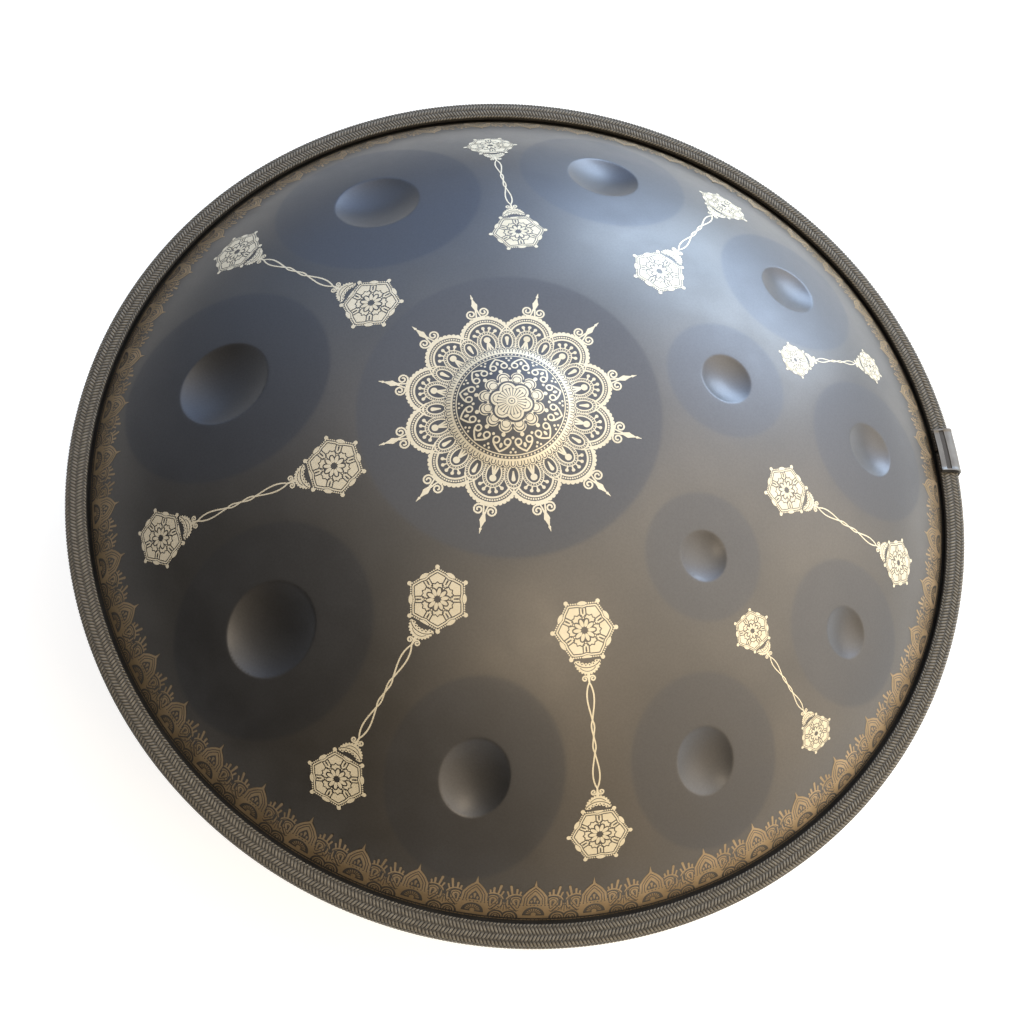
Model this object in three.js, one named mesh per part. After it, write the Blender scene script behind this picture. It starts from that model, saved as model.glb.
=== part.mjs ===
// A twelve-note handpan: two pressed steel shells bonded at a flat flange, a rubber trim and a
// braided rope band round the flange, and a metal sleeve over the rope's joint.
// Millimetres, +Z up. The origin is on the vertical axis, level with the lowest ring of the
// bottom shell, so the pan stands on Z = 0. The ding's small offset lies towards -X.
import * as THREE from "three";

// Driving dimensions
const SHEET = 1.2; // steel thickness
const SHELL_RADIUS = 267; // where the dome would cross the rim's mid-plane
const CROWN_RISE = 123.5; // dome height above the rim's mid-plane
const FLANGE_RADIUS = 275.5;
const ROPE_RADIUS = 280;
const ROPE_INNER_RADIUS = 266.2;
const ROPE_HALF_HEIGHT = 6.5;
const GAP = 0.3; // between pieces that touch
const BOND_HALF_THICKNESS = 0.3;
const PORT_RADIUS = 50; // clear radius of the sound port's neck
const PORT_LIP_RADIUS = 55.5; // inner edge of the flat ring round the port
const PORT_LIP_WIDTH = 4;
const NECK_LENGTH = 38;
const BOTTOM_STEPS = 7; // rings between the flange and the port
const SEGMENTS = 72; // round the rim
const TRIM_WALL = 1;
const TRIM_REACH = 6.5; // of the rubber trim over the flange
const ROPE_CORNER = 4.5; // radius of the rope band's outer corners
const ROPE_LIP = 1; // bevel of its inner edges
const ROPE_CUT = 1.5; // between the rope's two ends
const JOINT_AZIMUTH = 23; // middle of the rope's joint, degrees
const BINDING_WALL = 0.5;
const BINDING_SHOWS = 1.2; // past the sleeve at the lower end
const BINDING_HIDDEN = 2; // short of the sleeve's edge at the upper end
const SLEEVE_LENGTH = 30;
const SLEEVE_WALL = 0.9;
const GROOVE_RADIUS = 272.2; // middle of the sleeve's groove
const GROOVE_WIDTH = 3.2;
const GROOVE_DEPTH = 0.5;
const GROOVE_SLANT = 0.5;

// Worked out from them
const DOME_SPHERE_RADIUS = (SHELL_RADIUS ** 2 + CROWN_RISE ** 2) / (2 * CROWN_RISE);
const FLANGE_TOP = BOND_HALF_THICKNESS + GAP + SHEET; // above the rim's mid-plane
const RIM_HEIGHT = domeHeight(PORT_LIP_RADIUS + PORT_LIP_WIDTH); // mid-plane above the floor
const ROPE_SLOT_HALF = FLANGE_TOP + GAP + TRIM_WALL + GAP;
const ROPE_SLOT_RADIUS = FLANGE_RADIUS + GAP + TRIM_WALL + GAP;

// The ding: an outward dome in the middle of its own flattened field
const DING = { x: -21.5, y: -12, field: 84, dome: 36, rise: 7, sink: 4.5 };

// The other notes: plan position from the axis, field radius and dimple radius
const NOTES = [
  { reach: 182, azimuth: 140, field: 62, dimple: 25.5 },
  { reach: 185, azimuth: 94, field: 53, dimple: 22.5 },
  { reach: 188, azimuth: 51.5, field: 47, dimple: 18.5 },
  { reach: 200, azimuth: 18, field: 43.5, dimple: 16.5 },
  { reach: 207, azimuth: -15, field: 39, dimple: 14 },
  { reach: 205, azimuth: -47.5, field: 43.5, dimple: 17 },
  { reach: 200, azimuth: -84.3, field: 48.5, dimple: 19 },
  { reach: 191, azimuth: -125, field: 55, dimple: 24.5 },
  { reach: 186, azimuth: -171.5, field: 61, dimple: 26 },
  { reach: 103.5, azimuth: 30, field: 36.5, dimple: 15.5 },
  { reach: 116.5, azimuth: -28, field: 34, dimple: 13.7 },
].map((note) => ({ ...note, ...planPoint(note.reach, note.azimuth) }));

const FIELD_SINK = 0.4; // share of the dome's own bulge that a note field is flattened by
const DIMPLE_DEPTH = 0.27; // of the dimple's radius, measured square to the shell

// Blending bands where two surfaces of the shell meet
const FLANGE_FILLET = 2;
const FIELD_EDGE = 0.15;
const DOME_FOOT = 1.2;
const DIMPLE_EDGE = 0.25;

// Rings of mesh points: plan radii round the rim; radius and count round the ding; and share of
// the dimple's radius and count inside a dimple
const RIM_RINGS = [FLANGE_RADIUS, 271, 268, 266, 264, 260.5, 254];
const DING_RINGS = [[84, 36], [60, 28], [43, 24], [37, 24], [33, 24], [25, 20], [16, 14], [8, 8], [0, 1]];
const DIMPLE_RINGS = [[1, 20], [0.75, 12], [0.42, 7], [0, 1]];
const DIMPLE_COLLAR = 3; // from the dimple's edge to the ring outside it
const FIELD_POINTS = 26;
const DOME_RINGS = { first: 70, last: 245, step: 21, spacing: 21, clear: 9 };

// A point in plan at a distance and azimuth from the axis
function planPoint(reach, azimuth) {
  const angle = THREE.MathUtils.degToRad(azimuth);
  return { x: reach * Math.cos(angle), y: reach * Math.sin(angle) };
}

// The plain spherical dome above the rim's mid-plane
function domeHeight(radius) {
  const drop = DOME_SPHERE_RADIUS - Math.sqrt(DOME_SPHERE_RADIUS ** 2 - radius ** 2);
  return CROWN_RISE - drop;
}

// The larger of two heights, blended over a band of about the given width
function smoothMax(a, b, band) {
  return (a + b + Math.sqrt((a - b) ** 2 + band ** 2)) / 2;
}

// A paraboloid cap of the given height over a disc, 0 outside it
function cap(distance, radius, height, band) {
  const bulge = height * (1 - (distance / radius) ** 2);
  return smoothMax(bulge, 0, band);
}

// Outer surface of the top shell above the rim's mid-plane
function topHeight(x, y) {
  const radius = Math.hypot(x, y);
  const slope = radius / Math.sqrt(DOME_SPHERE_RADIUS ** 2 - radius ** 2);
  const stretch = Math.hypot(1, slope);
  const fromDing = Math.hypot(x - DING.x, y - DING.y);
  let height = domeHeight(radius);
  height -= cap(fromDing, DING.field, DING.sink, FIELD_EDGE);
  height += cap(fromDing, DING.dome, DING.rise, DOME_FOOT);
  for (const note of NOTES) {
    const distance = Math.hypot(x - note.x, y - note.y);
    const bulge = note.field ** 2 / (2 * DOME_SPHERE_RADIUS);
    height -= cap(distance, note.field, FIELD_SINK * bulge, FIELD_EDGE);
    height -= cap(distance, note.dimple, DIMPLE_DEPTH * note.dimple, DIMPLE_EDGE) * stretch;
  }
  return smoothMax(height, FLANGE_TOP, FLANGE_FILLET);
}

// The inner surface: the sheet's thickness measured square to the outer one
function topInnerHeight(x, y) {
  const step = 0.5;
  const slopeX = (topHeight(x + step, y) - topHeight(x - step, y)) / (2 * step);
  const slopeY = (topHeight(x, y + step) - topHeight(x, y - step)) / (2 * step);
  return topHeight(x, y) - SHEET * Math.hypot(1, slopeX, slopeY);
}

function ringPoints(centre, radius, count) {
  const points = [];
  for (let i = 0; i < count; i += 1) {
    const angle = (2 * Math.PI * i) / count;
    points.push({ x: centre.x + radius * Math.cos(angle), y: centre.y + radius * Math.sin(angle) });
  }
  return points;
}

// Plan points of the top shell: rings round each feature, sparser rings between them
function topPlanPoints() {
  const axis = { x: 0, y: 0 };
  const points = RIM_RINGS.flatMap((radius) => ringPoints(axis, radius, SEGMENTS));
  points.push(...DING_RINGS.flatMap(([radius, count]) => ringPoints(DING, radius, count)));
  for (const note of NOTES) {
    points.push(...DIMPLE_RINGS.flatMap(([share, count]) => ringPoints(note, share * note.dimple, count)));
    points.push(...ringPoints(note, note.dimple + DIMPLE_COLLAR, DIMPLE_RINGS[0][1]));
    points.push(...ringPoints(note, note.field, FIELD_POINTS));
  }
  const away = (point) => [DING, ...NOTES].every((feature) => {
    const distance = Math.hypot(point.x - feature.x, point.y - feature.y);
    return distance > feature.field + DOME_RINGS.clear;
  });
  for (let radius = DOME_RINGS.first; radius < DOME_RINGS.last; radius += DOME_RINGS.step) {
    const count = Math.round((2 * Math.PI * radius) / DOME_RINGS.spacing);
    points.push(...ringPoints(axis, radius, count).filter(away));
  }
  return points;
}

// Delaunay triangulation of plan points, by inserting them one at a time
function triangulate(points) {
  const far = 20 * FLANGE_RADIUS;
  const all = [...points, { x: -far, y: -far }, { x: far, y: -far }, { x: 0, y: far }];
  const makeTriangle = (a, b, c) => {
    const [p, q, r] = [all[a], all[b], all[c]];
    const double = 2 * ((q.x - p.x) * (r.y - p.y) - (q.y - p.y) * (r.x - p.x));
    const qSize = (q.x - p.x) ** 2 + (q.y - p.y) ** 2;
    const rSize = (r.x - p.x) ** 2 + (r.y - p.y) ** 2;
    const x = ((r.y - p.y) * qSize - (q.y - p.y) * rSize) / double;
    const y = ((q.x - p.x) * rSize - (r.x - p.x) * qSize) / double;
    return { corners: [a, b, c], x: p.x + x, y: p.y + y, reach: x * x + y * y };
  };
  let triangles = [makeTriangle(points.length, points.length + 1, points.length + 2)];
  points.forEach((point, index) => {
    const edges = new Map();
    const kept = [];
    for (const triangle of triangles) {
      const distance = (point.x - triangle.x) ** 2 + (point.y - triangle.y) ** 2;
      if (distance > triangle.reach) {
        kept.push(triangle);
        continue;
      }
      const [a, b, c] = triangle.corners;
      for (const [from, to] of [[a, b], [b, c], [c, a]]) {
        if (!edges.delete(`${to},${from}`)) edges.set(`${from},${to}`, [from, to]);
      }
    }
    for (const [from, to] of edges.values()) kept.push(makeTriangle(from, to, index));
    triangles = kept;
  });
  return triangles.map((t) => t.corners).filter((corners) => corners.every((i) => i < points.length));
}

// The same points again with a hair's unevenness, so that no four lie on one circle
function unevenPoints(points) {
  const hair = 1e-4;
  return points.map((p, i) => ({ x: p.x + hair * Math.sin(12.9 * i), y: p.y + hair * Math.cos(78.2 * i) }));
}

// A closed sheet between two height functions over one set of plan points, whose first
// rimCount points go round the edge anticlockwise
function sheetGeometry(points, rimCount, upper, lower) {
  const positions = [];
  for (const height of [upper, lower]) {
    for (const point of points) positions.push(point.x, point.y, height(point.x, point.y));
  }
  const count = points.length;
  const index = [];
  for (const [a, b, c] of triangulate(unevenPoints(points))) {
    index.push(a, b, c, count + a, count + c, count + b);
  }
  for (let i = 0; i < rimCount; i += 1) {
    const next = (i + 1) % rimCount;
    index.push(i, count + i, count + next, i, count + next, next);
  }
  return indexedGeometry(positions, index);
}

// A closed section [radius, height] turned about the axis through an angle in degrees
function turnedGeometry(section, azimuth = 0, sweep = 360) {
  const whole = sweep === 360;
  const outline = section.map(([radius, height]) => new THREE.Vector2(radius, height));
  if (THREE.ShapeUtils.isClockWise(outline)) outline.reverse();
  const count = outline.length;
  const steps = Math.max(4, Math.round((sweep / 360) * SEGMENTS));
  const places = whole ? steps : steps + 1;
  const positions = [];
  for (let step = 0; step < places; step += 1) {
    const angle = THREE.MathUtils.degToRad(azimuth + (sweep * step) / steps);
    for (const { x: radius, y: height } of outline) {
      positions.push(radius * Math.cos(angle), radius * Math.sin(angle), height);
    }
  }
  const index = [];
  for (let step = 0; step < steps; step += 1) {
    const here = step * count;
    const there = ((step + 1) % places) * count;
    for (let i = 0; i < count; i += 1) {
      const j = (i + 1) % count;
      index.push(here + i, there + i, there + j, here + i, there + j, here + j);
    }
  }
  if (!whole) {
    const last = steps * count;
    for (const [a, b, c] of THREE.ShapeUtils.triangulateShape(outline, [])) {
      index.push(a, b, c, last + a, last + c, last + b);
    }
  }
  return indexedGeometry(positions, index);
}

function indexedGeometry(positions, index) {
  const geometry = new THREE.BufferGeometry();
  geometry.setAttribute("position", new THREE.Float32BufferAttribute(positions, 3));
  geometry.setIndex(index);
  return geometry;
}

function topShell() {
  const geometry = sheetGeometry(topPlanPoints(), SEGMENTS, topHeight, topInnerHeight);
  return { geometry, material: nitridedSteel() };
}

// The bottom shell mirrors the plain dome and rolls inwards round the port into a short neck
function bottomShell() {
  const outer = [];
  const inner = [];
  const lipOuter = PORT_LIP_RADIUS + PORT_LIP_WIDTH;
  for (let i = 0; i <= BOTTOM_STEPS; i += 1) {
    const radius = THREE.MathUtils.lerp(SHELL_RADIUS - 3, lipOuter, i / BOTTOM_STEPS);
    const slope = radius / (domeHeight(radius) - CROWN_RISE + DOME_SPHERE_RADIUS);
    outer.push([radius, -domeHeight(radius)]);
    inner.push([radius, SHEET * Math.hypot(1, slope) - domeHeight(radius)]);
  }
  const floor = -RIM_HEIGHT;
  const rollHeight = PORT_LIP_RADIUS - PORT_RADIUS;
  const section = [
    [FLANGE_RADIUS, SHEET - FLANGE_TOP],
    [FLANGE_RADIUS, -FLANGE_TOP],
    [SHELL_RADIUS, -FLANGE_TOP],
    ...outer,
    [PORT_LIP_RADIUS, floor],
    [PORT_LIP_RADIUS - 0.5 * rollHeight, floor + 0.13 * rollHeight],
    [PORT_LIP_RADIUS - 0.87 * rollHeight, floor + 0.5 * rollHeight],
    [PORT_RADIUS, floor + rollHeight],
    [PORT_RADIUS, floor + NECK_LENGTH],
    [PORT_RADIUS + SHEET, floor + NECK_LENGTH],
    [PORT_RADIUS + SHEET, floor + rollHeight],
    [PORT_LIP_RADIUS - 0.3 * rollHeight, floor + SHEET],
    ...inner.reverse(),
    [SHELL_RADIUS + 1, SHEET - FLANGE_TOP],
  ];
  return { geometry: turnedGeometry(section), material: nitridedSteel() };
}

// Cured epoxy between the two flanges
function seamBond() {
  const section = [
    [SHELL_RADIUS + 2, -BOND_HALF_THICKNESS],
    [FLANGE_RADIUS - 1, -BOND_HALF_THICKNESS],
    [FLANGE_RADIUS - 1, BOND_HALF_THICKNESS],
    [SHELL_RADIUS + 2, BOND_HALF_THICKNESS],
  ];
  return { geometry: turnedGeometry(section), material: matte(0x2b2724, 0.6) };
}

// Rubber channel pressed over the flanges' edge
function edgeTrim() {
  const inside = FLANGE_TOP + GAP;
  const outside = inside + TRIM_WALL;
  const lip = FLANGE_RADIUS - TRIM_REACH;
  const web = FLANGE_RADIUS + GAP;
  const section = [
    [lip, inside],
    [lip, outside],
    [web + TRIM_WALL, outside],
    [web + TRIM_WALL, -outside],
    [lip, -outside],
    [lip, -inside],
    [web, -inside],
    [web, inside],
  ];
  return { geometry: turnedGeometry(section), material: matte(0x161616, 0.85) };
}

// The rope band's outline, grown outwards, from one inner edge round to the other
function bandSection(growth) {
  const upper = [[ROPE_INNER_RADIUS + ROPE_LIP, ROPE_HALF_HEIGHT + growth]];
  for (let turn = 90; turn >= 0; turn -= 30) {
    const angle = THREE.MathUtils.degToRad(turn);
    const radius = ROPE_RADIUS - ROPE_CORNER + (ROPE_CORNER + growth) * Math.cos(angle);
    const height = ROPE_HALF_HEIGHT - ROPE_CORNER + (ROPE_CORNER + growth) * Math.sin(angle);
    upper.push([radius, height]);
  }
  const lower = upper.map(([radius, height]) => [radius, -height]).reverse();
  return [...upper, ...lower];
}

// Braided band that wraps the trim, cut open under the sleeve
function rimRope() {
  const section = [
    ...bandSection(0),
    [ROPE_INNER_RADIUS, ROPE_LIP - ROPE_HALF_HEIGHT],
    [ROPE_INNER_RADIUS, -ROPE_SLOT_HALF],
    [ROPE_SLOT_RADIUS, -ROPE_SLOT_HALF],
    [ROPE_SLOT_RADIUS, ROPE_SLOT_HALF],
    [ROPE_INNER_RADIUS, ROPE_SLOT_HALF],
    [ROPE_INNER_RADIUS, ROPE_HALF_HEIGHT - ROPE_LIP],
  ];
  const cut = arcDegrees(ROPE_CUT);
  const geometry = turnedGeometry(section, JOINT_AZIMUTH + cut / 2, 360 - cut);
  return { geometry, material: matte(0x7d7266, 0.9) };
}

// The angle of an arc of given length at the rope's outer edge
function arcDegrees(length) {
  return THREE.MathUtils.radToDeg(length / ROPE_RADIUS);
}

// An open channel of given wall round the rope, growth clear of it
function channelSection(growth, wall) {
  return [...bandSection(growth + wall), ...bandSection(growth).reverse()];
}

// Dark tape round each end of the rope; side -1 is the end that shows past the sleeve
function ropeBinding(side) {
  const start = ROPE_CUT / 2;
  const end = SLEEVE_LENGTH / 2 + (side < 0 ? BINDING_SHOWS : -BINDING_HIDDEN);
  const length = arcDegrees(end - start);
  const azimuth = JOINT_AZIMUTH + (side < 0 ? -arcDegrees(end) : arcDegrees(start));
  const geometry = turnedGeometry(channelSection(GAP, BINDING_WALL), azimuth, length);
  return { geometry, material: matte(0x171513, 0.7) };
}

// Metal sleeve over the joint, with a shallow groove along its top
function ropeSleeve() {
  const growth = GAP + BINDING_WALL + GAP;
  const top = ROPE_HALF_HEIGHT + growth + SLEEVE_WALL;
  const floor = top - GROOVE_DEPTH;
  const half = GROOVE_WIDTH / 2;
  const groove = [
    [GROOVE_RADIUS - half, top],
    [GROOVE_RADIUS - half + GROOVE_SLANT, floor],
    [GROOVE_RADIUS + half - GROOVE_SLANT, floor],
    [GROOVE_RADIUS + half, top],
  ];
  const [lip, ...rest] = bandSection(growth + SLEEVE_WALL);
  const section = [lip, ...groove, ...rest, ...bandSection(growth).reverse()];
  const sweep = arcDegrees(SLEEVE_LENGTH);
  const geometry = turnedGeometry(section, JOINT_AZIMUTH - sweep / 2, sweep);
  const material = new THREE.MeshStandardMaterial({ color: 0x77767a, roughness: 0.45, metalness: 1 });
  return { geometry, material };
}

function nitridedSteel() {
  return new THREE.MeshStandardMaterial({ color: 0x3c3d40, roughness: 0.42, metalness: 1 });
}

function matte(color, roughness) {
  return new THREE.MeshStandardMaterial({ color, roughness, metalness: 0 });
}

const PARTS = {
  top_shell: topShell(),
  bottom_shell: bottomShell(),
  seam_bond: seamBond(),
  edge_trim: edgeTrim(),
  rim_rope: rimRope(),
  rope_binding_lower: ropeBinding(-1),
  rope_binding_upper: ropeBinding(1),
  rope_sleeve: ropeSleeve(),
};

const handpan = new THREE.Group();
for (const [name, { geometry, material }] of Object.entries(PARTS)) {
  const mesh = new THREE.Mesh(geometry, material);
  mesh.name = name;
  mesh.position.z = RIM_HEIGHT;
  handpan.add(mesh);
}

export default handpan;
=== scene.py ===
import math

import bpy
import numpy as np
from mathutils import Matrix, Vector
from mathutils.geometry import delaunay_2d_cdt


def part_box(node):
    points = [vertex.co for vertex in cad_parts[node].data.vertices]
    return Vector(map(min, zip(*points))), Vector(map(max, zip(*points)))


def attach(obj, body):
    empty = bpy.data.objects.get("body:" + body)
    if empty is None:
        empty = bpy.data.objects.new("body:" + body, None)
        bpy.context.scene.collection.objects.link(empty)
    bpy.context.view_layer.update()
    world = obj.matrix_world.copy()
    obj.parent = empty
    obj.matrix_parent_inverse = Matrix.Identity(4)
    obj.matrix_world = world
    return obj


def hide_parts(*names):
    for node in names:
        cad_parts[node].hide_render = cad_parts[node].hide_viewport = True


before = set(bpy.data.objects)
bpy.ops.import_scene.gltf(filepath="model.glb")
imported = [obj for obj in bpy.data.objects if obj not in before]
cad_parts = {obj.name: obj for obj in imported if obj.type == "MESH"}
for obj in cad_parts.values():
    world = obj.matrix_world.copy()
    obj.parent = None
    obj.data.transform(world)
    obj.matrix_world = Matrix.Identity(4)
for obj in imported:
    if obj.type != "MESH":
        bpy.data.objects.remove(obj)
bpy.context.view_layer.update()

MM = 0.001
TAU = 2 * math.pi

# Dimensions shared with the CAD model
SHEET = 1.2
SHELL_RADIUS = 267
CROWN_RISE = 123.5
FLANGE_RADIUS = 275.5
FLANGE_TOP = 1.8
ROPE_RADIUS = 280
ROPE_INNER_RADIUS = 266.2
ROPE_HALF_HEIGHT = 6.5
ROPE_SLOT_RADIUS = 277.1
ROPE_SLOT_HALF = 3.4
ROPE_CORNER = 4.5
PORT_RADIUS = 50
PORT_LIP_RADIUS = 55.5
PORT_LIP_WIDTH = 4
NECK_LENGTH = 38
NECK_BEVEL = 0.3
JOINT_AZIMUTH = 23
SLEEVE_LENGTH = 30
DOME_SPHERE_RADIUS = (SHELL_RADIUS ** 2 + CROWN_RISE ** 2) / (2 * CROWN_RISE)

# The middle note: place, radius of its field and of the raised dome in it, the dome's height, and
# how far the field is sunk
DING = {"x": -21.5, "y": -12, "field": 84, "dome": 36, "rise": 7, "sink": 4.5}

# The other notes: distance from the axis, azimuth, radius of the field and radius of the dimple
NOTES = [
    (182, 140, 62, 25.5),
    (185, 94, 53, 22.5),
    (188, 51.5, 47, 18.5),
    (200, 18, 43.5, 16.5),
    (207, -15, 39, 14),
    (205, -47.5, 43.5, 17),
    (200, -84.3, 48.5, 19),
    (191, -125, 55, 24.5),
    (186, -171.5, 61, 26),
    (103.5, 30, 36.5, 15.5),
    (116.5, -28, 34, 13.7),
]
FIELD_SINK = 0.4  # how far a field is flattened, as a share of the dome's bulge over it
DIMPLE_DEPTH = 0.27  # as a share of the dimple's radius

# How softly surfaces run into each other
FLANGE_FILLET = 2
FIELD_EDGE = 0.15
DOME_FOOT = 1.2
DIMPLE_EDGE = 0.25

GOLD_LIFT = 0.08  # how far the gold stands above the steel

rope_low, rope_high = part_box("rim_rope")
RIM_HEIGHT = (rope_low.z + rope_high.z) / 2 / MM


# ---- the upper shell's surface

def plan_point(reach, azimuth):
    """A point in plan from its distance and its azimuth"""
    angle = math.radians(azimuth)
    return reach * math.cos(angle), reach * math.sin(angle)


def dome_height(radius):
    """Height of the plain dome, a part of a sphere, at a distance from the axis"""
    drop = DOME_SPHERE_RADIUS - np.sqrt(DOME_SPHERE_RADIUS ** 2 - radius ** 2)
    return CROWN_RISE - drop


def smooth_max(a, b, band):
    """The larger of two heights, rounded over a band where they cross"""
    return (a + b + np.sqrt((a - b) ** 2 + band ** 2)) / 2


def cap(distance, radius, height, band):
    """A paraboloid cap of the given height over a disc, 0 outside it"""
    return smooth_max(height * (1 - (distance / radius) ** 2), 0, band)


def top_height(x, y):
    """Outer surface of the upper shell above the rim's mid-plane"""
    radius = np.hypot(x, y)
    slope = radius / np.sqrt(DOME_SPHERE_RADIUS ** 2 - radius ** 2)
    stretch = np.hypot(1, slope)
    from_ding = np.hypot(x - DING["x"], y - DING["y"])
    height = dome_height(radius)
    height = height - cap(from_ding, DING["field"], DING["sink"], FIELD_EDGE)
    height = height + cap(from_ding, DING["dome"], DING["rise"], DOME_FOOT)
    for reach, azimuth, field, dimple in NOTES:
        note_x, note_y = plan_point(reach, azimuth)
        distance = np.hypot(x - note_x, y - note_y)
        bulge = field ** 2 / (2 * DOME_SPHERE_RADIUS)
        height = height - cap(distance, field, FIELD_SINK * bulge, FIELD_EDGE)
        height = height - cap(distance, dimple, DIMPLE_DEPTH * dimple, DIMPLE_EDGE) * stretch
    return smooth_max(height, FLANGE_TOP, FLANGE_FILLET)


def top_normals(x, y, step=0.05):
    """Unit normals of the upper shell's outer surface"""
    slope_x = (top_height(x + step, y) - top_height(x - step, y)) / (2 * step)
    slope_y = (top_height(x, y + step) - top_height(x, y - step)) / (2 * step)
    normals = np.stack([-slope_x, -slope_y, np.ones_like(slope_x)], axis=1)
    return normals / np.linalg.norm(normals, axis=1)[:, None]


# ---- making pieces

def add_object(name, data):
    """Puts a mesh, lamp or camera into the scene"""
    item = bpy.data.objects.new(name, data)
    bpy.context.scene.collection.objects.link(item)
    return item


def make_piece(name, points, faces, material, normals=None, sharp=None, replaces=()):
    """A smooth mesh that rides on the body, creased where faces meet at over sharp degrees"""
    metres = (np.asarray(points) + (0, 0, RIM_HEIGHT)) * MM
    mesh = bpy.data.meshes.new(name)
    mesh.from_pydata(metres.tolist(), [], faces)
    mesh.shade_smooth()
    if normals is not None:
        mesh.normals_split_custom_set_from_vertices(normals.tolist())
    if sharp is not None:
        mesh.set_sharp_from_angle(angle=math.radians(sharp))
    mesh.materials.append(material)
    piece = add_object(name, mesh)
    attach(piece, "root")
    if replaces:
        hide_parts(*replaces)
    return piece


def point_values(piece, name, values):
    """A number at each point of a piece, for its material to read"""
    piece.data.attributes.new(name, "FLOAT", "POINT").data.foreach_set("value", values)


def turned_mesh(section, segments, azimuth=0, sweep=360):
    """A closed section of [radius, height] turned about the axis, with ends if it stops short.
    It runs anticlockwise, seen with the radius to the right and the height upwards."""
    section = np.asarray(section, float)
    count = len(section)
    whole = sweep == 360
    places = segments if whole else segments + 1
    angles = np.radians(azimuth + sweep * np.arange(places) / segments)[:, None]
    radius, height = section[:, 0][None, :], section[:, 1][None, :]
    points = np.stack([radius * np.cos(angles), radius * np.sin(angles),
                       height + 0 * angles], axis=2).reshape(-1, 3)
    here = (np.arange(segments) * count)[:, None]
    there = ((np.arange(segments) + 1) % places * count)[:, None]
    i = np.arange(count)[None, :]
    j = (i + 1) % count
    faces = np.stack([here + i, there + i, there + j, here + j], axis=2).reshape(-1, 4).tolist()
    if not whole:
        faces.append(list(range(count)))
        faces.append([segments * count + k for k in reversed(range(count))])
    return points, faces


def arc_points(centre, radius, start, stop, steps):
    """Points on an arc in a section, angles in degrees"""
    angles = np.radians(np.linspace(start, stop, steps + 1))
    return [(centre[0] + radius * math.cos(a), centre[1] + radius * math.sin(a)) for a in angles]


# ---- flat patterns
# A shape is a distance field over a plane, negative inside; a pattern is negative where there is
# gold.

def disc(x, y, cx, cy, radius):
    """A filled circle"""
    return np.hypot(x - cx, y - cy) - radius


def ring(x, y, cx, cy, radius, width):
    """A circle drawn as a line"""
    return np.abs(np.hypot(x - cx, y - cy) - radius) - width / 2


def oval(x, y, cx, cy, half_x, half_y):
    """An ellipse; its distances are near enough close to its edge"""
    u, v = x - cx, y - cy
    size = np.hypot(u / half_x, v / half_y)
    steep = np.hypot(u / half_x ** 2, v / half_y ** 2)
    return size * (size - 1) / np.maximum(steep, 1e-6)


def band(field, offset, width):
    """A line that runs at a set distance outside a shape"""
    return np.abs(field - offset) - width / 2


def beads(across, along, pitch, radius):
    """Dots along a line, from the distance to the line and the length along it"""
    return np.hypot(across, along - pitch * np.round(along / pitch)) - radius


def taper(x, y, start, end, start_radius, end_radius):
    """A rounded stroke whose width changes evenly"""
    run_x, run_y = end[0] - start[0], end[1] - start[1]
    share = ((x - start[0]) * run_x + (y - start[1]) * run_y) / (run_x ** 2 + run_y ** 2)
    share = np.clip(share, 0, 1)
    gap = np.hypot(x - start[0] - share * run_x, y - start[1] - share * run_y)
    return gap - start_radius - share * (end_radius - start_radius)


def stroke(x, y, points, width):
    """A line of even width through a list of points"""
    pieces = [taper(x, y, a, b, width / 2, width / 2) for a, b in zip(points, points[1:])]
    return np.minimum.reduce(pieces)


def polygon(x, y, points):
    """A filled outline"""
    distance = np.full(x.shape, np.inf)
    inside = np.zeros(x.shape, bool)
    for (ax, ay), (bx, by) in zip(points, points[1:] + points[:1]):
        distance = np.minimum(distance, taper(x, y, (ax, ay), (bx, by), 0, 0))
        if ay != by:
            crosses = (ay > y) != (by > y)
            inside ^= crosses & (x < (bx - ax) * (y - ay) / (by - ay) + ax)
    return np.where(inside, -distance, distance)


def mirrored_polygon(x, y, side, peak):
    """A filled outline from its right side, from the foot up, and the point on top"""
    return polygon(x, y, [(-across, up) for across, up in side] + [peak] + side[::-1])


def curl(cx, cy, radius, start, turns, steps=18, closing=0.75):
    """Points of a spiral that winds inwards by a share of its radius, for stroke"""
    points = []
    for i in range(steps + 1):
        share = i / steps
        angle = math.radians(start) + TAU * turns * share
        reach = radius * (1 - closing * share)
        points.append((cx + reach * math.cos(angle), cy + reach * math.sin(angle)))
    return points


class Pattern:
    """Gold laid on and cut away, in the order of the calls"""

    def __init__(self, shape):
        self.field = np.full(shape, 9.0)

    def add(self, *shapes):
        for shape in shapes:
            self.field = np.minimum(self.field, shape)

    def cut(self, *shapes):
        for shape in shapes:
            self.field = np.maximum(self.field, -shape)


def fold(angle, period):
    """An angle folded into half a period, as for a pattern with mirror symmetry"""
    return np.abs((angle + period / 2) % period - period / 2)


# ---- from a pattern to a mesh

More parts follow.
